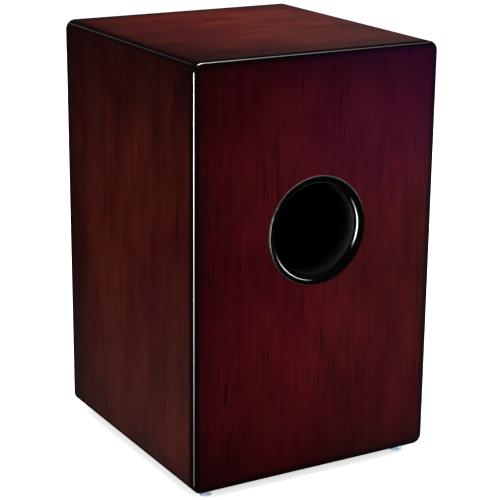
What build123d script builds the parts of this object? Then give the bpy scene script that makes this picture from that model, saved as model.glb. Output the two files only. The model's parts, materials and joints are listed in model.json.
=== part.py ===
"""Box drum (cajon): a glued plywood case with a screwed-on playing face, two sets of
snare wires on an inner bar, a flared bass port in the back and four clear rubber feet.

Frame: millimetres, +Z up, z = 0 on the plane the feet stand on, origin under the middle of
the box. The player sits on the top panel; the playing face looks along -Y and the bass
port along +Y.
"""
from build123d import *
from math import acos, atan2, cos, degrees, radians, sin, sqrt
import os

os.makedirs("parts", exist_ok=True)

# ---- driving dimensions -------------------------------------------------------------
WIDTH, DEPTH, HEIGHT = 300.0, 312.0, 470.0  # the wooden box, without feet and hardware
FOOT_H = 10.0  # the box stands this far above the floor
EDGE_R = 11.0  # rounding of the four long edges that run from front to back
BACK_ROUND = 3.5  # rounding round the outer rim of the back panel
FACE_ROUND = 1.2  # the same on the thin playing face

BOARD_T = 12.0  # top, bottom and side boards
BACK_T = 9.0  # back panel
FACE_T = 3.0  # playing face
LAP = 6.0  # what the top and bottom boards keep above and below the side boards

FRONT_BATTEN = 18.0  # square strips behind the playing face
BACK_BATTEN = 15.0  # square strips inside the back panel
GLUE_BLOCK = 15.0  # legs of the triangular blocks in the long corners

PORT_RISE = 277.0  # port centre above the underside of the box
PORT_R = 60.0  # outer radius of the port's lip
LIP_PROUD = 2.0  # the lip and its gasket stand this far out of the back panel
LIP_EDGE = 1.0  # small rounding of the lip's outer edge
FLARE_R = 9.5  # rounding from the lip into the throat
SHELL_T = 2.5  # wall of the moulded port
SPIGOT_R = 57.0  # collar of the port that is glued into the panel
PORT_DEPTH = 32.0  # lip to inner end
GASKET_T = 0.8
GASKET_PROUD = 0.5  # the gasket shows this much round the lip

BAR_RISE = 303.0  # middle of the snare bar above the underside of the box
BAR_H, BAR_T = 36.0, 22.0
CLEAT_W, CLEAT_T, CLEAT_H = 36.0, 18.0, 50.0

STRANDS = 10
STRAND_R, STRAND_PITCH, STRAND_L = 1.0, 4.6, 132.0
SNARE_X, SNARE_LEAN = 42.0, 18.0  # hinge point from the middle; outward lean in degrees
SNARE_GAP = 0.3  # clearance of the wires from the face and from their clip
CLIP_L, CLIP_W, PLATE_T = 60.0, 14.0, 0.8
END_W, SOLDER = 9.0, 0.2  # free end plate, and how deep the wires sink into its solder

HEAD_R, HEAD_H = 3.9, 2.0  # screws of the playing face; the head stands as far out as the port
SCREW_INSET = 6.0  # screw line in from the outer edges
FOOT_X, FOOT_Y = 24.0, 18.0  # foot centres in from the side and from the front and back
FOOT_TOP_R, FOOT_R, FOOT_BORE_R = 8.0, 6.5, 4.2
FOOT_SEAT = 3.6  # rubber left between the washer and the wood
PILOT_PLAY = 0.05  # radial room round a screw in its hole

# ---- derived places -----------------------------------------------------------------
BOTTOM, TOP = FOOT_H, FOOT_H + HEIGHT
MID_Z = (BOTTOM + TOP) / 2
FRONT, BACK = -DEPTH / 2, DEPTH / 2  # outer faces of the box
BOARD_FRONT, BOARD_BACK = FRONT + FACE_T, BACK - BACK_T
BOARD_L = BOARD_BACK - BOARD_FRONT
INNER_X = WIDTH / 2 - BOARD_T
INNER_TOP, INNER_BOTTOM = TOP - BOARD_T, BOTTOM + BOARD_T
PORT_Z = BOTTOM + PORT_RISE
BAR_Z = BOTTOM + BAR_RISE

STRAND_Y = BOARD_FRONT + SNARE_GAP + STRAND_R
CLIP_FRONT = STRAND_Y + STRAND_R + SNARE_GAP
BAR_FRONT = CLIP_FRONT + PLATE_T
BAR_BACK = BAR_FRONT + BAR_T
BAR_HALF = INNER_X - FRONT_BATTEN
CLEAT_BACK = BAR_BACK + CLEAT_T


def save(part, name):
    """Names the piece and writes its STEP file."""
    part.label = name
    export_step(part, f"parts/{name}.step")


def cross_plane(y):
    """The box's cross section at y: x as in the model, height from the box's middle. It looks
    along -Y, so a positive extrusion runs towards the player's side."""
    return Plane(origin=(0, y, MID_Z), x_dir=(1, 0, 0), z_dir=(0, -1, 0))


def face_plane(y):
    """Like cross_plane, but its height is the model's z."""
    return Plane(origin=(0, y, 0), x_dir=(1, 0, 0), z_dir=(0, -1, 0))


def block(x, y, z):
    """A plain rectangular stick between two x, two y and two z values."""
    with BuildPart() as stick:
        with BuildSketch(Plane.XY.offset(z[0])):
            with Locations(((x[0] + x[1]) / 2, (y[0] + y[1]) / 2)):
                Rectangle(x[1] - x[0], y[1] - y[0])
        extrude(amount=z[1] - z[0])
    return stick.part


def screw(head_r, head_h, shank_r, length, flat=False):
    """A cross-head screw along Z: the head's underside, or the flat top of a countersunk head,
    is at z = 0 and the shank runs to -length."""
    top = 0.0 if flat else head_h
    with BuildPart() as body:
        with BuildSketch(Plane.XZ):
            with BuildLine():
                if flat:
                    Line((0, 0), (head_r, 0))
                    Line((head_r, 0), (shank_r, -head_h))
                    Line((shank_r, -head_h), (shank_r, -length + 2 * shank_r))
                else:
                    Line((0, head_h), (head_r * 0.45, head_h))
                    RadiusArc((head_r * 0.45, head_h), (head_r, head_h * 0.35), head_h * 1.3)
                    Polyline((head_r, head_h * 0.35), (head_r, 0), (shank_r, 0),
                             (shank_r, -length + 2 * shank_r))
                Polyline((shank_r, -length + 2 * shank_r), (0, -length), (0, top))
            make_face()
        revolve(axis=Axis.Z)
        with BuildSketch(Plane.XY.offset(top)):
            Rectangle(head_r * 0.95, head_r * 0.2)
            Rectangle(head_r * 0.2, head_r * 0.95)
        extrude(amount=-head_r * 0.28, mode=Mode.SUBTRACT)
    return body.part


# ---- screw places -------------------------------------------------------------------
ROW_X = [WIDTH * 0.22 * i for i in (-2, -1, 0, 1, 2)]
COLUMN_Z = [BOTTOM + HEIGHT * k for k in (0.1, 0.3, 0.5, 0.7, 0.9)]
EDGE_X = WIDTH / 2 - SCREW_INSET
TOP_SCREWS = [(x, TOP - SCREW_INSET) for x in ROW_X]
BOTTOM_SCREWS = [(x, BOTTOM + SCREW_INSET) for x in ROW_X]
SIDE_SCREWS = {side: [(side * EDGE_X, z) for z in COLUMN_Z] for side in (-1, 1)}
FACE_SCREWS = TOP_SCREWS + BOTTOM_SCREWS + SIDE_SCREWS[-1] + SIDE_SCREWS[1]
FACE_SHANK_R, FACE_SCREW_L = 1.5, 20.0

FOOT_PLACES = {
    f"foot_{y_name}_{x_name}": (sx * (WIDTH / 2 - FOOT_X), sy * (DEPTH / 2 - FOOT_Y))
    for y_name, sy in (("front", -1), ("back", 1))
    for x_name, sx in (("left", -1), ("right", 1))
}
FOOT_SHANK_R, FOOT_SCREW_L = 1.6, 14.0
WASHER_R, WASHER_T = 4.0, 0.8

BAR_SCREWS = [(s * (BAR_HALF - CLEAT_W / 2 + FRONT_BATTEN / 2), BAR_Z + dz)
              for s in (-1, 1) for dz in (-10, 10)]
BAR_SHANK_R, BAR_SCREW_L, BAR_HEAD_R, BAR_HEAD_H = 2.0, 36.0, 4.0, 2.2
BAR_SINK_ANGLE = 2 * degrees(atan2(BAR_HEAD_R - BAR_SHANK_R, BAR_HEAD_H))

CLIP_HOLE = CLIP_L / 2 - 3.6  # screw places along the clip, from its middle
CLIP_SHANK_R, CLIP_SCREW_L, CLIP_HEAD_R, CLIP_HEAD_H = 1.25, 12.0, 2.7, 1.2


def clip_screw_places(side):
    """Where one clip's two screws stand on the bar, as x and z."""
    a = radians(SNARE_LEAN)
    return [(side * (SNARE_X + s * CLIP_HOLE * cos(a)), BAR_Z - s * CLIP_HOLE * sin(a))
            for s in (-1, 1)]


# ---- case: top, bottom and side boards ----------------------------------------------
def end_board(name, up, pilots):
    """Top (up = 1) or bottom (up = -1) board, rebated to take the side boards."""
    with BuildPart() as board:
        with BuildSketch(cross_plane(BOARD_BACK)):
            RectangleRounded(WIDTH, HEIGHT, EDGE_R)
            with Locations((0, up * (HEIGHT - BOARD_T) / 2)):
                Rectangle(WIDTH, BOARD_T, mode=Mode.INTERSECT)
            with Locations(*[(s * (WIDTH - BOARD_T) / 2, up * (HEIGHT - LAP - BOARD_T) / 2)
                             for s in (-1, 1)]):
                Rectangle(BOARD_T, BOARD_T - LAP, mode=Mode.SUBTRACT)
        extrude(amount=BOARD_L)
        with BuildSketch(face_plane(BOARD_FRONT)):
            with Locations(*pilots):
                Circle(FACE_SHANK_R + PILOT_PLAY)
        extrude(amount=FACE_T - FACE_SCREW_L, mode=Mode.SUBTRACT)
        if up < 0:
            with BuildSketch(Plane.XY.offset(BOTTOM)):
                with Locations(*FOOT_PLACES.values()):
                    Circle(FOOT_SHANK_R + PILOT_PLAY)
            extrude(amount=FOOT_SCREW_L - FOOT_SEAT - WASHER_T, mode=Mode.SUBTRACT)
    save(board.part, name)


end_board("top_panel", 1, TOP_SCREWS)
end_board("bottom_panel", -1, BOTTOM_SCREWS)


def side_board(name, side):
    """One side board, let into the rebates of the top and bottom boards."""
    with BuildPart() as board:
        with BuildSketch(cross_plane(BOARD_BACK)):
            RectangleRounded(WIDTH, HEIGHT, EDGE_R)
            with Locations((side * (WIDTH - BOARD_T) / 2, 0)):
                Rectangle(BOARD_T, HEIGHT - 2 * LAP, mode=Mode.INTERSECT)
        extrude(amount=BOARD_L)
        with BuildSketch(face_plane(BOARD_FRONT)):
            with Locations(*SIDE_SCREWS[side]):
                Circle(FACE_SHANK_R + PILOT_PLAY)
        extrude(amount=FACE_T - FACE_SCREW_L, mode=Mode.SUBTRACT)
    save(board.part, name)


side_board("left_side_panel", -1)
side_board("right_side_panel", 1)

# ---- back panel with the port hole ---------------------------------------------------
with BuildPart() as back_panel:
    with BuildSketch(cross_plane(BACK)):
        RectangleRounded(WIDTH, HEIGHT, EDGE_R)
    extrude(amount=BACK_T)
    rim = back_panel.faces().sort_by(Axis.Y)[-1].edges()
    fillet(rim, BACK_ROUND)
    with BuildSketch(face_plane(BACK)):
        with Locations((0, PORT_Z)):
            Circle(SPIGOT_R)
    extrude(amount=BACK_T, mode=Mode.SUBTRACT)
save(back_panel.part, "back_panel")

# ---- playing face --------------------------------------------------------------------
with BuildPart() as playing_face:
    with BuildSketch(cross_plane(BOARD_FRONT)):
        RectangleRounded(WIDTH, HEIGHT, EDGE_R)
    extrude(amount=FACE_T)
    rim = playing_face.faces().sort_by(Axis.Y)[0].edges()
    fillet(rim, FACE_ROUND)
    with BuildSketch(face_plane(BOARD_FRONT)):
        with Locations(*FACE_SCREWS):
            Circle(FACE_SHANK_R + 4 * PILOT_PLAY)
    extrude(amount=FACE_T, mode=Mode.SUBTRACT)
save(playing_face.part, "playing_face")

# ---- strips and blocks glued inside the case -----------------------------------------
for prefix, size, y_span in (
    ("front", FRONT_BATTEN, (BOARD_FRONT, BOARD_FRONT + FRONT_BATTEN)),
    ("back", BACK_BATTEN, (BOARD_BACK - BACK_BATTEN, BOARD_BACK)),
):
    across = (-INNER_X, INNER_X)
    upright = (INNER_BOTTOM + size, INNER_TOP - size)
    save(block(across, y_span, (INNER_TOP - size, INNER_TOP)), f"{prefix}_top_batten")
    save(block(across, y_span, (INNER_BOTTOM, INNER_BOTTOM + size)), f"{prefix}_bottom_batten")
    save(block((-INNER_X, size - INNER_X), y_span, upright), f"{prefix}_left_batten")
    save(block((INNER_X - size, INNER_X), y_span, upright), f"{prefix}_right_batten")

BLOCK_L = BOARD_L - FRONT_BATTEN - BACK_BATTEN
for z_name, corner_z, down in (("top", INNER_TOP, -1), ("bottom", INNER_BOTTOM, 1)):
    for x_name, side in (("left", -1), ("right", 1)):
        corner_x = side * INNER_X
        with BuildPart() as glue_block:
            with BuildSketch(face_plane(BOARD_BACK - BACK_BATTEN)):
                with BuildLine():
                    Polyline((corner_x, corner_z), (corner_x - side * GLUE_BLOCK, corner_z),
                             (corner_x, corner_z + down * GLUE_BLOCK), close=True)
                make_face()
            extrude(amount=BLOCK_L)
        save(glue_block.part, f"{z_name}_{x_name}_glue_block")

# ---- bass port and its gasket ---------------------------------------------------------
PORT_AXIS = Axis(origin=(0, BACK, PORT_Z), direction=(0, 1, 0))
PORT_PLANE = Plane(origin=(0, BACK, PORT_Z), x_dir=(1, 0, 0), z_dir=(0, 0, 1))
FLARE_X, FLARE_Y = PORT_R - LIP_EDGE, LIP_PROUD - FLARE_R  # centre of the flare's arc
THROAT_R = FLARE_X - FLARE_R
SPIGOT_END = -BACK_T - 2.0
PORT_END = LIP_PROUD - PORT_DEPTH
BACK_ARC_R = FLARE_R - SHELL_T
COLLAR_R = SPIGOT_R - SHELL_T  # inside of the glued collar
BACK_ARC = degrees(acos((FLARE_X - COLLAR_R) / BACK_ARC_R))
MEET_Y = FLARE_Y + sqrt(BACK_ARC_R**2 - (FLARE_X - COLLAR_R) ** 2)

with BuildPart() as bass_port:
    with BuildSketch(PORT_PLANE):
        with BuildLine():
            CenterArc((FLARE_X, LIP_PROUD - LIP_EDGE), LIP_EDGE, 0, 90)
            Polyline((PORT_R, LIP_PROUD - LIP_EDGE), (PORT_R, GASKET_T), (SPIGOT_R, GASKET_T),
                     (SPIGOT_R, SPIGOT_END), (COLLAR_R, SPIGOT_END), (COLLAR_R, MEET_Y))
            CenterArc((FLARE_X, FLARE_Y), BACK_ARC_R, 180 - BACK_ARC, BACK_ARC)
            Polyline((THROAT_R + SHELL_T, FLARE_Y), (THROAT_R + SHELL_T, PORT_END),
                     (THROAT_R, PORT_END), (THROAT_R, FLARE_Y))
            CenterArc((FLARE_X, FLARE_Y), FLARE_R, 90, 90)
        make_face()
    revolve(axis=PORT_AXIS)
save(bass_port.part, "bass_port")

with BuildPart() as port_gasket:
    with BuildSketch(PORT_PLANE):
        with BuildLine():
            Polyline((SPIGOT_R, 0), (PORT_R + GASKET_PROUD, 0), (PORT_R + GASKET_PROUD, 0.4),
                     (PORT_R + GASKET_PROUD - 0.4, GASKET_T), (SPIGOT_R, GASKET_T), close=True)
        make_face()
    revolve(axis=PORT_AXIS)
save(port_gasket.part, "port_gasket")

# ---- snare bar and its cleats ---------------------------------------------------------
with BuildPart() as snare_bar:
    add(block((-BAR_HALF, BAR_HALF), (BAR_FRONT, BAR_BACK), (BAR_Z - BAR_H / 2, BAR_Z + BAR_H / 2)))
    with Locations(face_plane(BAR_FRONT)):
        with Locations(*BAR_SCREWS):
            CounterSinkHole(BAR_SHANK_R + PILOT_PLAY, BAR_HEAD_R + PILOT_PLAY,
                            counter_sink_angle=BAR_SINK_ANGLE)
    with BuildSketch(face_plane(BAR_FRONT)):
        with Locations(*clip_screw_places(-1), *clip_screw_places(1)):
            Circle(CLIP_SHANK_R + PILOT_PLAY)
    extrude(amount=PLATE_T - CLIP_SCREW_L, mode=Mode.SUBTRACT)
save(snare_bar.part, "snare_bar")

for x_name, side in (("left", -1), ("right", 1)):
    x_span = sorted((side * (INNER_X - CLEAT_W), side * INNER_X))
    with BuildPart() as cleat:
        add(block(x_span, (BAR_BACK, CLEAT_BACK), (BAR_Z - CLEAT_H / 2, BAR_Z + CLEAT_H / 2)))
        with BuildSketch(face_plane(BAR_BACK)):
            with Locations(*[p for p in BAR_SCREWS if p[0] * side > 0]):
                Circle(BAR_SHANK_R + PILOT_PLAY)
        extrude(amount=BAR_T - BAR_SCREW_L, mode=Mode.SUBTRACT)
    save(cleat.part, f"snare_bar_{x_name}_cleat")

# ---- snare sets: fixed clip, wires and free end plate ----------------------------------
for x_name, side in (("left", -1), ("right", 1)):
    lean = radians(SNARE_LEAN)
    hinge_plane = Plane(
        origin=(side * SNARE_X, CLIP_FRONT, BAR_Z),
        x_dir=(cos(lean), 0, -side * sin(lean)),
        z_dir=(0, -1, 0),
    )  # local y runs up along the wires
    with BuildPart() as clip:
        with BuildSketch(hinge_plane):
            RectangleRounded(CLIP_L, CLIP_W, 2)
            with Locations((-CLIP_HOLE, 0), (CLIP_HOLE, 0)):
                Circle(CLIP_SHANK_R + 2 * PILOT_PLAY, mode=Mode.SUBTRACT)
        extrude(amount=-PLATE_T)
    save(clip.part, f"snare_{x_name}_clip")

    wire_plane = Plane(
        origin=Vector(side * SNARE_X, STRAND_Y, BAR_Z) - hinge_plane.y_dir * CLIP_W / 2,
        x_dir=hinge_plane.x_dir,
        z_dir=hinge_plane.y_dir,
    )
    with BuildPart() as wires:
        with BuildSketch(wire_plane):
            with GridLocations(STRAND_PITCH, STRAND_PITCH, STRANDS, 1):
                Circle(STRAND_R)
        extrude(amount=STRAND_L)
    save(wires.part, f"snare_{x_name}_wires")

    end_plane = hinge_plane.offset(SNARE_GAP + SOLDER)
    with BuildPart() as end_plate:
        with BuildSketch(end_plane):
            with Locations((0, STRAND_L - (CLIP_W + END_W) / 2 + 1)):
                RectangleRounded((STRANDS - 1) * STRAND_PITCH + 7, END_W, 2)
        extrude(amount=-PLATE_T)
    save(end_plate.part, f"snare_{x_name}_end_plate")

# ---- feet -------------------------------------------------------------------------------
for name, (x, y) in FOOT_PLACES.items():
    with BuildPart() as foot:
        with BuildSketch(Plane(origin=(x, y, 0), x_dir=(1, 0, 0), z_dir=(0, -1, 0))):
            with BuildLine():
                Line((FOOT_SHANK_R + 4 * PILOT_PLAY, BOTTOM), (FOOT_TOP_R, BOTTOM))
                Line((FOOT_TOP_R, BOTTOM), (FOOT_TOP_R, BOTTOM - 1.5))
                Line((FOOT_TOP_R, BOTTOM - 1.5), (FOOT_R, 1.0))
                RadiusArc((FOOT_R, 1.0), (FOOT_R - 1.0, 0), 1.1)
                Polyline((FOOT_R - 1.0, 0), (FOOT_BORE_R, 0), (FOOT_BORE_R, BOTTOM - FOOT_SEAT),
                         (FOOT_SHANK_R + 4 * PILOT_PLAY, BOTTOM - FOOT_SEAT),
                         (FOOT_SHANK_R + 4 * PILOT_PLAY, BOTTOM))
            make_face()
        revolve(axis=Axis(origin=(x, y, 0), direction=(0, 0, 1)))
    save(foot.part, name)

# ---- fasteners, one group of loose solids for each kind ---------------------------------
face_screw = screw(HEAD_R, HEAD_H, FACE_SHANK_R, FACE_SCREW_L)
with BuildPart() as face_screws:
    with Locations(*[Location((x, FRONT, z), (90, 0, 0)) for x, z in FACE_SCREWS]):
        add(face_screw)
save(face_screws.part, "face_screws")

foot_screw = screw(3.2, 1.8, FOOT_SHANK_R, FOOT_SCREW_L)
WASHER_UNDER = BOTTOM - FOOT_SEAT - WASHER_T
with BuildPart() as foot_screws:
    with Locations(*[Location((x, y, WASHER_UNDER), (180, 0, 0)) for x, y in FOOT_PLACES.values()]):
        add(foot_screw)
save(foot_screws.part, "foot_screws")

with BuildPart() as foot_washers:
    with BuildSketch(Plane.XY.offset(WASHER_UNDER)):
        with Locations(*FOOT_PLACES.values()):
            Circle(WASHER_R)
            Circle(FOOT_SHANK_R + 4 * PILOT_PLAY, mode=Mode.SUBTRACT)
    extrude(amount=WASHER_T)
save(foot_washers.part, "foot_washers")

bar_screw = screw(BAR_HEAD_R, BAR_HEAD_H, BAR_SHANK_R, BAR_SCREW_L, flat=True)
with BuildPart() as bar_screws:
    with Locations(*[Location((x, BAR_FRONT, z), (90, 0, 0)) for x, z in BAR_SCREWS]):
        add(bar_screw)
save(bar_screws.part, "snare_bar_screws")

clip_screw = screw(CLIP_HEAD_R, CLIP_HEAD_H, CLIP_SHANK_R, CLIP_SCREW_L)
with BuildPart() as clip_screws:
    with Locations(*[Location((x, CLIP_FRONT, z), (90, 0, 0))
                     for s in (-1, 1) for x, z in clip_screw_places(s)]):
        add(clip_screw)
save(clip_screws.part, "snare_clip_screws")
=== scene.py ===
"""Looks for the cajon: dark red-brown burst lacquer on the case, a gloss black port, clear
rubber feet, steel snare wires, a pale floor and soft studio light. Units are metres."""

import json
import math

import bmesh
import bpy
from mathutils import Matrix, Vector


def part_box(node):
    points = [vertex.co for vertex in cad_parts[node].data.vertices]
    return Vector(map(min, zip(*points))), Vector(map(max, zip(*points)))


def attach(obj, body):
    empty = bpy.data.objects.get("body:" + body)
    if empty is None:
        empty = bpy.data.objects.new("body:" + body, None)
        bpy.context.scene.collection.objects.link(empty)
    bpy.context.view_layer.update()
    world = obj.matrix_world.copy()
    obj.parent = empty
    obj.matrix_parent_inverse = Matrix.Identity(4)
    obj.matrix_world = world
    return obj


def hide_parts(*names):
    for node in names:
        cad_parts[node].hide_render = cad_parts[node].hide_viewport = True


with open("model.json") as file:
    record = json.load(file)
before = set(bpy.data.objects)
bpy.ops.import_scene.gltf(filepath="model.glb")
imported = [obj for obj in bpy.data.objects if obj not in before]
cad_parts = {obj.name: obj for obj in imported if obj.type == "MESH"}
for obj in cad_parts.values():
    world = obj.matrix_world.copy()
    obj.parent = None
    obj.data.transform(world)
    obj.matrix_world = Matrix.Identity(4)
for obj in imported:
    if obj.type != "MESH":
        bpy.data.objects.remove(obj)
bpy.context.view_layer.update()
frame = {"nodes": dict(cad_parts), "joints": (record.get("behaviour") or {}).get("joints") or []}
nodes = frame["nodes"]
X, Y, Z = range(3)

# ---- places taken from the frame ------------------------------------------------------
CASE_LO = Vector((
    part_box("left_side_panel")[0].x,
    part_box("playing_face")[0].y,
    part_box("bottom_panel")[0].z,
))
CASE_HI = Vector((
    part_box("right_side_panel")[1].x,
    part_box("back_panel")[1].y,
    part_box("top_panel")[1].z,
))
CASE_MID = (CASE_LO + CASE_HI) / 2
CASE_HALF = (CASE_HI - CASE_LO) / 2
PORT_LO, PORT_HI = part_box("bass_port")
PORT_MID = (PORT_LO + PORT_HI) / 2
PORT_LIP_R = (PORT_HI.x - PORT_LO.x) / 2


# ---- node helper ------------------------------------------------------------------------
class Shader:
    """One material's node tree, with short calls for the nodes used below."""

    MIX_COLOURS, MIX_RESULT = (6, 7), 2  # the colour sockets of a mix node

    def __init__(self, name):
        self.mat = bpy.data.materials.new(name)
        self.mat.use_nodes = True
        self.tree = self.mat.node_tree
        self.bsdf = self.tree.nodes["Principled BSDF"]

    def feed(self, socket, value):
        """Links another node's output to the socket, or sets the socket's own value."""
        if isinstance(value, bpy.types.NodeSocket):
            self.tree.links.new(value, socket)
        else:
            socket.default_value = value

    def node(self, kind, **sockets):
        made = self.tree.nodes.new(kind)
        for socket, value in sockets.items():
            self.feed(made.inputs[socket.replace("_", " ")], value)
        return made

    def math(self, operation, a, b=0.0):
        made = self.node("ShaderNodeMath")
        made.operation = operation
        self.feed(made.inputs[0], a)
        self.feed(made.inputs[1], b)
        return made.outputs[0]

    def place(self, stretch=(1, 1, 1), shift=(0, 0, 0)):
        """The point on the object, in the row frame, stretched along its axes."""
        coords = self.node("ShaderNodeTexCoord").outputs["Object"]
        made = self.node("ShaderNodeMapping", Vector=coords, Scale=stretch, Location=shift)
        return made.outputs[0]

    def split(self, vector):
        """The x, y and z of a vector."""
        return self.node("ShaderNodeSeparateXYZ", Vector=vector).outputs

    def noise(self, at, scale, detail=2, roughness=0.5, distortion=0.0):
        made = self.node("ShaderNodeTexNoise", Vector=at, Scale=scale, Detail=detail,
                         Roughness=roughness, Distortion=distortion)
        return made.outputs["Fac"]

    def span(self, value, low, high, to_low=0.0, to_high=1.0, smooth=True):
        """Maps low..high to to_low..to_high and holds the ends."""
        made = self.node("ShaderNodeMapRange")
        made.interpolation_type = "SMOOTHSTEP" if smooth else "LINEAR"
        for socket, given in zip(("Value", "From Min", "From Max", "To Min", "To Max"),
                                 (value, low, high, to_low, to_high)):
            self.feed(made.inputs[socket], given)
        return made.outputs[0]

    def mix(self, share, a, b):
        """Goes from colour a at a share of 0 to colour b at 1."""
        made = self.node("ShaderNodeMix")
        made.data_type = "RGBA"
        self.feed(made.inputs["Factor"], share)
        for socket, colour in zip(self.MIX_COLOURS, (a, b)):
            given = colour if isinstance(colour, bpy.types.NodeSocket) else (*colour, 1)
            self.feed(made.inputs[socket], given)
        return made.outputs[self.MIX_RESULT]

    def scale(self, colour, factor):
        made = self.node("ShaderNodeVectorMath")
        made.operation = "SCALE"
        self.feed(made.inputs[0], colour)
        self.feed(made.inputs["Scale"], factor)
        return made.outputs["Vector"]

    def length(self, vector):
        made = self.node("ShaderNodeVectorMath")
        made.operation = "LENGTH"
        self.feed(made.inputs[0], vector)
        return made.outputs["Value"]

    def bump(self, height, distance, strength=1.0):
        made = self.node("ShaderNodeBump", Height=height, Distance=distance, Strength=strength)
        return made.outputs[0]

    def finish(self, **sockets):
        """Sets the shader's own sockets and returns the material."""
        for socket, value in sockets.items():
            self.feed(self.bsdf.inputs[socket.replace("_", " ")], value)
        return self.mat


def times(factor, colour):
    return tuple(factor * c for c in colour)


# ---- lacquer ------------------------------------------------------------------------------
NOISE = 0.3, 0.7  # a noise keeps mostly between these

# The stain varies between a cool and a warm red, a little differently on each board. The top's stain
# is lighter than the rest as painted light, standing for the light that falls on the top from above.
BACK_STAIN = (0.052, 0.0016, 0.0048), (0.062, 0.0030, 0.0044)
SIDE_STAIN = (0.044, 0.0028, 0.0034), (0.064, 0.0070, 0.0038)
TOP_STAIN_PAINTED_LIGHTER = (0.084, 0.0056, 0.0070), (0.116, 0.0125, 0.0074)
FACE_STAIN = (0.060, 0.0030, 0.0042), (0.080, 0.0070, 0.0042)
BURST_BLACK = (0.0030, 0.0006, 0.0009)
PORE_BLACK = (0.006, 0.0006, 0.0008)
# The inner faces' bare wood is painted near black, as painted shade for the dark inside of the closed
# case.
INNER_WOOD_PAINTED_SHADE = (0.010, 0.0065, 0.005), (0.016, 0.0104, 0.008)

# The black at the rim of a face is solid up to the first distance and gone by the second.
CORE, TOP_CORE = (0.0030, 0.0105), (0.0060, 0.0105)

# A wider smoky part fades inwards. Each axis across a board has the distance in which it
# fades, at the board's low end and at its high end.
BACK_SMOKE = {X: (0.008, 0.042), Z: (0.048, 0.056)}
SIDE_SMOKE = {Y: (0.055, 0.010), Z: (0.018, 0.110)}
TOP_SMOKE = {X: (0.026, 0.080), Y: (0.022, 0.085)}
FACE_SMOKE = {X: (0.030, 0.030), Z: (0.035, 0.050)}
SMOKE_DEPTH = 0.84  # how dark it is at the very edge
SMOKE_TURN = -0.6, 0.6  # places, of -1 to 1 across the board, between which low turns into high
SMOKE_CELLS, SMOKE_RAGGED = 11, (0.75, 1.3)  # the distance wavers between these shares of itself

# Layers of noise in the veneer: stretch along the grain, where less is longer, cells in a
# metre, detail and distortion. Clouds, hues and mottle are also stretched by the board's flow.
CLOUDS, HUES, MOTTLE = (1.0, 28, 3, 0.15), (1.0, 22, 2, 0.2), (0.6, 95, 3, 0.2)
BANDS, FIBRES, DASHES = (0.06, 90, 2, 0.3), (0.035, 400, 3, 0.1), (0.032, 470, 2, 0.1)
GRAIN_ROUGHNESS = 0.55
CLOUD_WEIGHT, BAND_WEIGHT, FIBRE_WEIGHT = 0.95, 0.6, 0.8
DARKEST = 0.3  # share of the stain that the layers leave at least
HUE_SPAN = 0.36, 0.64  # the stain goes from cool to warm between these levels of its noise
PORE_SPAN = 0.57, 0.66  # and the dark pores appear between these
CLUMP_CELLS, CLUMP_STRETCH, CLUMP_SPAN = 26, (1, 1, 0.5), (0.45, 0.62)
PORES_ALONE, PORES_CLUMPED = 0.06, 0.75  # how dark they are outside and inside their clumps
FIBRE_RELIEF, PORE_RELIEF = 0.5, 0.8

SKIN, FACE_SKIN = 0.005, 0.0029  # surfaces deeper than this inside the case are inner faces
INNER_COAT = 0.05  # how much of the clear coat the inner faces have
PEEL_CELLS = 130  # the coat is faintly uneven


def edge_distances(s):
    """How deep the point lies under the case's nearest face, how far it is from that face's
    rim, and, for each axis, its depth and its place from -1 to 1."""
    at = s.split(s.place())
    off = [s.math("SUBTRACT", at[i], CASE_MID[i]) for i in (X, Y, Z)]
    gap = [s.math("SUBTRACT", CASE_HALF[i], s.math("ABSOLUTE", off[i])) for i in (X, Y, Z)]
    unit = [s.math("DIVIDE", off[i], CASE_HALF[i]) for i in (X, Y, Z)]
    low, high = s.math("MINIMUM", gap[X], gap[Y]), s.math("MAXIMUM", gap[X], gap[Y])
    rim = s.math("MAXIMUM", low, s.math("MINIMUM", high, gap[Z]))
    return s.math("MINIMUM", low, gap[Z]), rim, gap, unit


def burst(s, rim, gap, unit, core, smoke, wobble):
    """1 where the stain is clear, falling to 0 in the black at the edges."""
    clear = s.span(rim, *core)
    ragged = s.span(wobble, *NOISE, *SMOKE_RAGGED, smooth=False)
    for axis, (low, high) in smoke.items():
        reach = s.math("MULTIPLY", s.span(unit[axis], *SMOKE_TURN, low, high), ragged)
        haze = s.math("EXPONENT", s.math("DIVIDE", s.math("MULTIPLY", gap[axis], -1.0), reach))
        thinned = s.math("SUBTRACT", 1.0, s.math("MULTIPLY", haze, SMOKE_DEPTH))
        clear = s.math("MULTIPLY", clear, thinned)
    return clear


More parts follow.
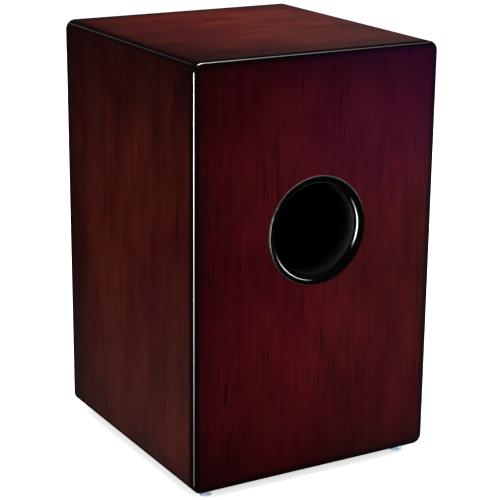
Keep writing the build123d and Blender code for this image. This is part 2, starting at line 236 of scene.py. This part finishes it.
def lacquer(name, along, stain, smoke, figure, mottling, flow, shift, skin=SKIN, core=CORE):
    """Stained veneer under a clear gloss coat, its grain along x or z, black towards the edges of each
    face, and bare wood on the inner faces, painted dark as the shade inside the case. figure is the
    strength of the bands, fibres and dark pores, mottling that of the mottle. shift gives a board its
    own pattern."""
    s = Shader(name)

    def grain(layer, offset, flow=1.0):
        stretch, cells, detail, distortion = layer
        length = stretch * flow
        at = s.place((length, 1, 1) if along == "x" else (1, 1, length), offset)
        return s.noise(at, cells, detail, GRAIN_ROUGHNESS, distortion)

    wobble = s.noise(s.place(shift=(shift, 0, 0)), SMOKE_CELLS)
    clouds = grain(CLOUDS, (0, 0, shift), flow)
    hues = grain(HUES, (0, shift, 0), flow)
    mottle = grain(MOTTLE, (shift, 1, 0), flow)
    bands = grain(BANDS, (0, shift, shift))
    fibres = grain(FIBRES, (shift, shift, 0))
    dashes = grain(DASHES, (shift, 0, shift))
    clumps = s.noise(s.place(CLUMP_STRETCH, (0, shift, 1)), CLUMP_CELLS)

    colour = s.mix(s.span(hues, *HUE_SPAN), *stain)
    level = 1.0
    for layer, weight in ((clouds, CLOUD_WEIGHT), (mottle, mottling),
                          (bands, BAND_WEIGHT * figure), (fibres, FIBRE_WEIGHT * figure)):
        change = s.math("MULTIPLY", s.math("SUBTRACT", layer, 0.5), weight)
        level = s.math("ADD", change, level)
    colour = s.scale(colour, s.math("MAXIMUM", level, DARKEST))
    clumped = s.span(clumps, *CLUMP_SPAN, PORES_ALONE, PORES_CLUMPED * figure)
    pores = s.math("MULTIPLY", s.span(dashes, *PORE_SPAN), clumped)
    colour = s.mix(pores, colour, PORE_BLACK)

    depth, rim, gap, unit = edge_distances(s)
    colour = s.mix(burst(s, rim, gap, unit, core, smoke, wobble), BURST_BLACK, colour)
    inner = s.math("GREATER_THAN", depth, skin)
    # Painted shade: the inner faces get the near-black wood tone for the dark inside of the case.
    colour = s.mix(inner, colour, s.mix(fibres, *INNER_WOOD_PAINTED_SHADE))

    relief = s.math("SUBTRACT", s.math("MULTIPLY", fibres, FIBRE_RELIEF),
                    s.math("MULTIPLY", pores, PORE_RELIEF))
    peel = s.noise(s.place(), PEEL_CELLS)
    return s.finish(
        Base_Color=colour,
        Roughness=s.span(fibres, *NOISE, 0.42, 0.55),
        Normal=s.bump(relief, 0.00012),
        Specular_IOR_Level=0.0,
        Coat_Weight=s.span(inner, 0.0, 1.0, 1.0, INNER_COAT, smooth=False),
        Coat_Roughness=0.035,
        Coat_IOR=1.5,
        Coat_Normal=s.bump(peel, 0.00001, 0.5),
    )


# ---- wood, plastic, rubber and metal ------------------------------------------------------
# The strips and the bar inside the case are painted very dark, as painted shade for the dark inside of
# the case.
STRIP_TONE_SHADED, BAR_TONE_SHADED = (0.022, 0.014, 0.010), (0.05, 0.032, 0.02)
STRIP_STRETCH = 0.04  # along the grain, where less is longer
STRIP_FIBRES, STRIP_RINGS = 300, 60  # cells in a metre

# Depths in from the port's lip: the flare's polish fades out between the first two, and by the third
# the throat is painted black as shade deep in the port.
FLARE_DULLS, THROAT_STARTS, THROAT_SHADED_BY = 0.0045, 0.0085, 0.036
LIP_WEAR = 0.0018, 0.0006  # the lip is scuffed from the first to the second, in from its rim
LIP_WORN, WALL_MATT = 0.25, 0.5  # roughness of the scuffed rim and of the throat's wall
PORT_BLACK = (0.0004, 0.0004, 0.0005), (0.0010, 0.0010, 0.0012)
# Painted light and shade: the throat's wall is painted a lighter grey near the lip for the light on
# it, and black deeper in.
THROAT_GREY_PAINTED_LIT = (0.0035, 0.0035, 0.0037), (0.0085, 0.0085, 0.009)
THROAT_BLACK_PAINTED_SHADE = (0.0002, 0.0002, 0.0002)

GASKET_GREY = (0.050, 0.036, 0.039), (0.115, 0.085, 0.09)
RUBBER_BLUE = (0.55, 0.73, 0.88), (0.82, 0.92, 1.0)


def inner_wood(name, along, tone):
    """Bare strip of wood with its grain along x, y or z, its tone painted dark as the shade inside the
    case.
    """
    s = Shader(name)
    stretch = tuple(STRIP_STRETCH if axis == along else 1 for axis in "xyz")
    fibres = s.noise(s.place(stretch), STRIP_FIBRES, 3, 0.6)
    rings = s.noise(s.place(stretch), STRIP_RINGS, distortion=0.5)
    colour = s.mix(s.span(rings, 0.35, 0.65), times(0.6, tone), tone)
    colour = s.mix(s.span(fibres, 0.55, 0.75, 0, 0.5), colour, times(0.35, tone))
    return s.finish(Base_Color=colour, Roughness=s.span(fibres, *NOISE, 0.55, 0.75),
                    Normal=s.bump(fibres, 0.0003), Specular_IOR_Level=0.3)


def port_plastic():
    """Black moulding: a polished lip and flare, scuffed duller round the outer edge, and a throat
    whose matt wall is painted a lighter grey near the lip as painted light and goes black further in
    as painted shade."""
    s = Shader("port_plastic")
    haze = s.noise(s.place(), 45, 3, 0.6)
    grit = s.noise(s.place(), 1400, roughness=0.6)
    marks = s.noise(s.place((1, 0.1, 1)), 600)
    at = s.split(s.place())
    depth = s.math("SUBTRACT", PORT_HI.y, at[Y])
    out = s.node("ShaderNodeCombineXYZ", X=s.math("SUBTRACT", at[X], PORT_MID.x),
                 Z=s.math("SUBTRACT", at[Z], PORT_MID.z))
    radius = s.length(out.outputs[0])

    throat = s.span(depth, FLARE_DULLS, THROAT_STARTS)
    depth_shade = s.span(depth, THROAT_STARTS, THROAT_SHADED_BY, smooth=False)
    worn = s.span(radius, *(PORT_LIP_R - inset for inset in LIP_WEAR))
    wall = s.math("MULTIPLY", throat, s.math("SUBTRACT", 1.0, depth_shade))
    shine = s.span(haze, *NOISE, 0.07, 0.12)
    shine = s.math("MAXIMUM", shine, s.math("MULTIPLY", worn, LIP_WORN))
    shine = s.math("MAXIMUM", shine, s.math("MULTIPLY", wall, WALL_MATT))
    colour = s.mix(s.span(haze, *NOISE), *PORT_BLACK)
    # Painted light and shade: lighter grey near the lip, black deeper in the throat.
    throat_lit_shaded = s.mix(depth_shade, s.mix(grit, *THROAT_GREY_PAINTED_LIT), THROAT_BLACK_PAINTED_SHADE)
    colour = s.mix(throat, colour, throat_lit_shaded)
    relief = s.mix(throat, marks, grit)
    return s.finish(Base_Color=colour, Roughness=shine, Normal=s.bump(relief, 0.00001, 0.4),
                    Specular_IOR_Level=0.5)


def gasket_rubber():
    """Grey foam rubber with fine cells."""
    s = Shader("gasket_rubber")
    cells = s.noise(s.place(), 900, roughness=0.6)
    return s.finish(Base_Color=s.mix(cells, *GASKET_GREY), Roughness=s.span(cells, *NOISE, 0.4, 0.6),
                    Normal=s.bump(cells, 0.0001), Specular_IOR_Level=0.5)


def clear_rubber():
    """Clear, faintly blue bumper rubber with a slightly uneven skin."""
    s = Shader("clear_rubber")
    flow = s.noise(s.place((1, 1, 0.4)), 210)
    return s.finish(Base_Color=s.mix(flow, *RUBBER_BLUE), Roughness=s.span(flow, *NOISE, 0.03, 0.09),
                    IOR=1.45, Normal=s.bump(flow, 0.0002, 0.5), Transmission_Weight=1.0)


def metal(name, light, dark, scale, rough):
    """Plated or painted steel with fine tool marks and a few duller patches."""
    s = Shader(name)
    marks = s.noise(s.place((1, 1, 0.25)), scale, 3, 0.6)
    patches = s.noise(s.place(), scale * 0.15)
    colour = s.mix(s.span(patches, 0.35, 0.65), dark, light)
    return s.finish(Base_Color=colour, Metallic=1.0, Normal=s.bump(marks, 0.00003, 0.6),
                    Roughness=s.span(marks, *NOISE, rough * 0.8, rough * 1.3))


# ---- which node has which material ----------------------------------------------------------
MATERIALS = {
    "back_panel": lacquer(
        "lacquer_back", "z", BACK_STAIN, BACK_SMOKE,
        figure=1.1, mottling=0.4, flow=0.55, shift=0.0),
    "left_side_panel": lacquer(
        "lacquer_left", "z", SIDE_STAIN, SIDE_SMOKE,
        figure=0.8, mottling=0.8, flow=0.38, shift=1.7),
    "right_side_panel": lacquer(
        "lacquer_right", "z", SIDE_STAIN, SIDE_SMOKE,
        figure=0.8, mottling=0.8, flow=0.38, shift=3.1),
    "top_panel": lacquer(
        "lacquer_top", "x", TOP_STAIN_PAINTED_LIGHTER, TOP_SMOKE,
        figure=0.8, mottling=0.6, flow=0.6, shift=5.3, core=TOP_CORE),
    "bottom_panel": lacquer(
        "lacquer_bottom", "x", SIDE_STAIN, TOP_SMOKE,
        figure=0.6, mottling=0.3, flow=0.75, shift=7.9),
    "playing_face": lacquer(
        "lacquer_face", "z", FACE_STAIN, FACE_SMOKE,
        figure=1.2, mottling=0.3, flow=0.75, shift=9.2, skin=FACE_SKIN),
    "bass_port": port_plastic(),
    "port_gasket": gasket_rubber(),
    "snare_bar": inner_wood("bar_wood", "x", BAR_TONE_SHADED),
    "face_screws": metal(
        "black_screw", (0.05, 0.05, 0.055), (0.02, 0.02, 0.022), scale=700, rough=0.3),
}
STRIPS = {axis: inner_wood(f"inner_wood_{axis}", axis, STRIP_TONE_SHADED) for axis in "xyz"}
RUBBER = clear_rubber()
ZINC = metal("zinc_steel", (0.62, 0.63, 0.65), (0.40, 0.41, 0.43), scale=700, rough=0.25)
WIRE_STEEL = metal("snare_steel", (0.66, 0.66, 0.67), (0.45, 0.45, 0.46), scale=1500, rough=0.22)

# The other nodes go by the first row whose start and end both fit.
BY_NAME = (
    ("", "glue_block", STRIPS["y"]),
    ("", "left_batten", STRIPS["z"]),
    ("", "right_batten", STRIPS["z"]),
    ("", "cleat", STRIPS["z"]),
    ("", "batten", STRIPS["x"]),
    ("foot_", "screws", ZINC),
    ("foot_", "washers", ZINC),
    ("foot_", "", RUBBER),
    ("snare_", "screws", ZINC),
    ("snare_", "", WIRE_STEEL),
)


def material_of(name):
    if name in MATERIALS:
        return MATERIALS[name]
    return next(made for start, end, made in BY_NAME if name.startswith(start) and name.endswith(end))


def paint(thing, material):
    thing.data.materials.clear()
    thing.data.materials.append(material)


for name, node in nodes.items():
    paint(node, material_of(name))


def new_object(name, mesh):
    thing = bpy.data.objects.new(name, mesh)
    bpy.context.scene.collection.objects.link(thing)
    return thing


def mesh_from(bm, name):
    """Turns the bmesh into a mesh and frees it."""
    mesh = bpy.data.meshes.new(name)
    bm.to_mesh(mesh)
    bm.free()
    return mesh


# ---- coiled snare wires -------------------------------------------------------------------
WIRES, WIRE_PITCH, WIRE_L = 10, 0.0046, 0.132  # as in the CAD set
CLIP_HALF = 0.007  # the wires start this far below the hinge line
COIL_R, COIL_WIRE_R = 0.00078, 0.0002  # to the middle of the wire, and of the wire itself
COIL_STEP = 0.0016  # from one turn to the next
TURN_PARTS, WIRE_SIDES = 8, 4  # straight pieces in a turn, and sides round the wire


def coil(bm, start, along, side):
    """Adds one close coil of wire to bm, from start, running along a direction."""
    third = along.cross(side)
    count = int(WIRE_L / COIL_STEP * TURN_PARTS)
    rings = []
    for i in range(count + 1):
        turn = 2 * math.pi * i / TURN_PARTS
        out = side * math.cos(turn) + third * math.sin(turn)
        centre = start + along * (WIRE_L * i / count) + out * COIL_R
        ring = []
        for k in range(WIRE_SIDES):
            a = 2 * math.pi * (k + 0.5) / WIRE_SIDES
            ring.append(bm.verts.new(centre + (out * math.cos(a) + along * math.sin(a)) * COIL_WIRE_R))
        rings.append(ring)
    for lower, upper in zip(rings, rings[1:]):
        for k in range(WIRE_SIDES):
            m = (k + 1) % WIRE_SIDES
            bm.faces.new((lower[k], lower[m], upper[m], upper[k]))
    bm.faces.new(rings[0][::-1])
    bm.faces.new(rings[-1])


def snare_wires(joint):
    """The ten coils of one snare set, in place of its straight CAD rods."""
    axis = Vector(joint["axis"])
    along = Vector((0, 1, 0)).cross(axis)
    hinge = Vector(joint["pos_m"])
    bm = bmesh.new()
    for i in range(WIRES):
        start = hinge - along * CLIP_HALF + axis * (WIRE_PITCH * (i - (WIRES - 1) / 2))
        coil(bm, start, along, axis)
    bmesh.ops.recalc_face_normals(bm, faces=bm.faces)
    mesh = mesh_from(bm, joint["child"] + "_coils")
    mesh.polygons.foreach_set("use_smooth", [True] * len(mesh.polygons))
    thing = new_object(joint["child"] + "_coils", mesh)
    paint(thing, WIRE_STEEL)
    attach(thing, joint["child"])
    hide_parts(joint["child"] + "_wires")


for joint in frame["joints"]:
    snare_wires(joint)

# ---- floor ----------------------------------------------------------------------------------
FLOOR_HALF = 9.0
FLOOR_GREY = (0.84, 0.84, 0.835), (0.86, 0.86, 0.855)
FLOOR_GLOW = 0.6  # light of its own, which keeps the drum's shadow pale


def pale_floor():
    s = Shader("pale_floor")
    haze = s.noise(s.place(), 0.7)
    return s.finish(Base_Color=s.mix(haze, *FLOOR_GREY), Roughness=0.9, Specular_IOR_Level=0.0,
                    Emission_Color=(1, 1, 1, 1), Emission_Strength=FLOOR_GLOW)


bm = bmesh.new()
bmesh.ops.create_grid(bm, x_segments=4, y_segments=4, size=FLOOR_HALF)
floor = new_object("floor", mesh_from(bm, "floor"))
paint(floor, pale_floor())
floor.visible_glossy = False
floor.visible_diffuse = False

# ---- camera ----------------------------------------------------------------------------------
CAM_AZIMUTH, CAM_ELEVATION, CAM_ROLL = map(math.radians, (149.829, 16.874, 0.564))
CAM_PLACE = Vector((0.90196, 1.56467, 0.77138))
CAM_LENS, SENSOR = 117.16, 36.0  # millimetres

backward = Vector((
    math.sin(CAM_AZIMUTH) * math.cos(CAM_ELEVATION),
    -math.cos(CAM_AZIMUTH) * math.cos(CAM_ELEVATION),
    math.sin(CAM_ELEVATION),
))
sideways = Vector((0, 0, 1)).cross(backward).normalized()
upward = backward.cross(sideways)
right = sideways * math.cos(CAM_ROLL) + upward * math.sin(CAM_ROLL)
upright = upward * math.cos(CAM_ROLL) - sideways * math.sin(CAM_ROLL)
camera_turn = Matrix((right, upright, backward)).transposed().to_4x4()
camera = bpy.data.objects.new("camera", bpy.data.cameras.new("camera"))
bpy.context.scene.collection.objects.link(camera)
camera.matrix_world = Matrix.Translation(CAM_PLACE) @ camera_turn
camera.data.lens = CAM_LENS
camera.data.sensor_width = SENSOR
bpy.context.scene.camera = camera


# ---- light ------------------------------------------------------------------------------------
def around(bearing, distance, height):
    """A place at a bearing from +Y towards +X, in degrees, as seen from above the object."""
    a = math.radians(bearing)
    return Vector((math.sin(a) * distance, math.cos(a) * distance, height))


def softbox(name, place, target, size, power):
    """A square studio light that points at target and doesn't show in reflections."""
    data = bpy.data.lights.new(name, "AREA")
    data.shape = "RECTANGLE"
    data.size = data.size_y = size
    data.energy = power
    lamp = bpy.data.objects.new(name, data)
    lamp.location = place
    lamp.rotation_euler = (Vector(target) - Vector(place)).to_track_quat("-Z", "Y").to_euler()
    lamp.visible_glossy = False
    lamp.visible_camera = False
    bpy.context.scene.collection.objects.link(lamp)


def card_glow(name, levels, colour, soft):
    """Light that follows levels from one end of a card to the other and fades out over its
    rim, on a card that is otherwise clear."""
    s = Shader(name)
    at = s.split(s.node("ShaderNodeTexCoord").outputs["Generated"])
    steps = len(levels) - 1
    fade = levels[0]
    for i in range(steps):
        start, end = i / steps, (i + 1) / steps
        change = s.span(at[Y], start, end, 0, levels[i + 1] - levels[i], smooth=False)
        fade = s.math("ADD", change, fade)
    for axis in (X, Y):
        off = s.math("ABSOLUTE", s.math("SUBTRACT", at[axis], 0.5))
        fade = s.math("MULTIPLY", fade, s.span(off, 0.5 - soft, 0.5, 1.0, 0.0))
    glow = s.node("ShaderNodeEmission", Color=(*colour, 1), Strength=fade)
    clear = s.node("ShaderNodeBsdfTransparent")
    both = s.node("ShaderNodeAddShader")
    s.feed(both.inputs[0], glow.outputs[0])
    s.feed(both.inputs[1], clear.outputs[0])
    s.feed(s.tree.nodes["Material Output"].inputs["Surface"], both.outputs[0])
    return s.mat


def card(name, seen_in, ends, width, levels, face, colour=(1, 1, 1), soft=0.2):
    """A glowing card seen only in the reflections of some nodes, as if flagged off the rest. It
    runs from one end to the other and faces a point."""
    foot, head = map(Vector, ends)
    bm = bmesh.new()
    bmesh.ops.create_grid(bm, x_segments=2, y_segments=2, size=0.5)
    bmesh.ops.scale(bm, vec=(width, (head - foot).length, 1), verts=bm.verts)
    thing = new_object(name, mesh_from(bm, name))
    paint(thing, card_glow(name, levels, colour, soft))
    run = (head - foot).normalized()
    middle = (foot + head) / 2
    across = run.cross(Vector(face) - middle).normalized()
    turn = Matrix((across, run, across.cross(run))).transposed().to_4x4()
    thing.matrix_world = Matrix.Translation(middle) @ turn
    thing.visible_camera = False
    thing.visible_diffuse = False
    thing.visible_shadow = False
    thing.visible_transmission = False
    lit = bpy.data.collections.new(name + "_seen_in")
    for node in seen_in:
        lit.objects.link(nodes[node])
    thing.light_linking.receiver_collection = lit


MIDDLE = (0, 0, 0.25)  # about the middle of the drum
TOP_MIDDLE, TOP_BACK, TOP_FRONT = (0, 0, 0.48), (0, 0.15, 0.48), (0, -0.15, 0.48)
PORT_FACE = (0, 0.15, 0.28)

softbox("overhead", (0.1, 0.2, 2.3), (0, 0, 0.2), size=2.2, power=75)
softbox("back_fill", around(-12, 2.4, 1.0), MIDDLE, size=1.4, power=26)
softbox("side_fill", around(80, 2.4, 0.9), MIDDLE, size=1.4, power=24)
softbox("face_fill", around(190, 2.4, 1.0), MIDDLE, size=1.6, power=30)
softbox("far_side_fill", around(262, 2.4, 0.9), MIDDLE, size=1.4, power=20)

BACK, TOP, FACE, PORT = ["back_panel"], ["top_panel"], ["playing_face"], ["bass_port"]
SIDES = ["left_side_panel", "right_side_panel"]
VIOLET = (0.42, 0.08, 1.0)
NEAR_EDGE = Vector((CASE_HI.x, CASE_HI.y, 0))

# The line on the near upright edge.
card("edge_strip", BACK, (NEAR_EDGE + around(67, 1.5, -0.955), NEAR_EDGE + around(67, 1.5, 0.565)),
     width=0.32, levels=(3, 17, 80, 200, 200), face=NEAR_EDGE)
# The arcs on the port's flare and round its lip.
card("port_strip", PORT, ((-1.43, 0.55, 0.05), (-0.85, 1.25, 0.95)),
     width=0.16, levels=(20, 45, 25, 8), face=PORT_FACE, soft=0.3)
card("port_edge_strip", PORT, (around(54, 1.1, -1.9), around(54, 1.1, 0.80)),
     width=0.36, levels=(3, 8, 14, 42, 52, 36), face=MIDDLE)
# The line on the back's upper edge.
card("top_card", BACK, ((-1.2, 0.6, 1.7), (0.6, 0.6, 1.7)),
     width=0.5, levels=(2.0, 4, 8, 28, 40, 50, 50, 20), face=TOP_BACK, soft=0.1)
# The violet and the neutral veil over the back.
card("violet_card", BACK, ((-0.4, 1.14, 0.19), (-1.4, 1.14, 0.19)),
     width=0.5, levels=(0.0, 0.22, 0.34, 0.14), face=MIDDLE, colour=VIOLET, soft=0.4)
card("haze_card", BACK, ((-0.45, 1.16, -0.25), (-1.45, 1.16, -0.25)),
     width=0.9, levels=(0.0, 0.06, 0.13, 0.13), face=MIDDLE, soft=0.3)
# Faint veils over the sides and the top.
card("low_card", SIDES, ((0.2, -1.2, -0.55), (1.4, -1.2, -0.55)),
     width=0.9, levels=(0.05, 0.05), face=MIDDLE, soft=0.5)
card("top_haze", TOP, ((-0.5, -1.5, 0.74), (-2.4, -1.1, 0.74)),
     width=0.75, levels=(0.0, 0.04, 0.08, 0.12), face=TOP_MIDDLE, soft=0.3)
# Lines on the playing face's upper edge and along the edges between top and sides.
card("front_top_card", FACE, ((-1.0, -0.7, 1.7), (1.0, -0.7, 1.7)),
     width=0.4, levels=(8, 14, 8), face=TOP_FRONT)
card("behind_strip", TOP + SIDES, ((0.4, -1.3, 0.3), (0.4, -1.3, 1.5)),
     width=0.12, levels=(0.4, 0.4), face=TOP_MIDDLE)

# ---- world ------------------------------------------------------------------------------------
WORLD_SOFT, WORLD_MIRRORED, WORLD_SEEN = 0.5, 0.015, 1.0  # as light, in reflections, to the camera
MIX_A, MIX_B = 2, 3  # the mix node's float inputs

world = bpy.data.worlds.new("studio")
bpy.context.scene.world = world
world.use_nodes = True
sky = world.node_tree
rays = sky.nodes.new("ShaderNodeLightPath")
mirrored, shown = sky.nodes.new("ShaderNodeMix"), sky.nodes.new("ShaderNodeMix")
sky.links.new(rays.outputs["Is Glossy Ray"], mirrored.inputs["Factor"])
mirrored.inputs[MIX_A].default_value = WORLD_SOFT
mirrored.inputs[MIX_B].default_value = WORLD_MIRRORED
sky.links.new(rays.outputs["Is Camera Ray"], shown.inputs["Factor"])
sky.links.new(mirrored.outputs[0], shown.inputs[MIX_A])
shown.inputs[MIX_B].default_value = WORLD_SEEN
sky.links.new(shown.outputs[0], sky.nodes["Background"].inputs["Strength"])
sky.nodes["Background"].inputs["Color"].default_value = (1, 1, 1, 1)
bpy.context.scene.view_settings.view_transform = "Standard"
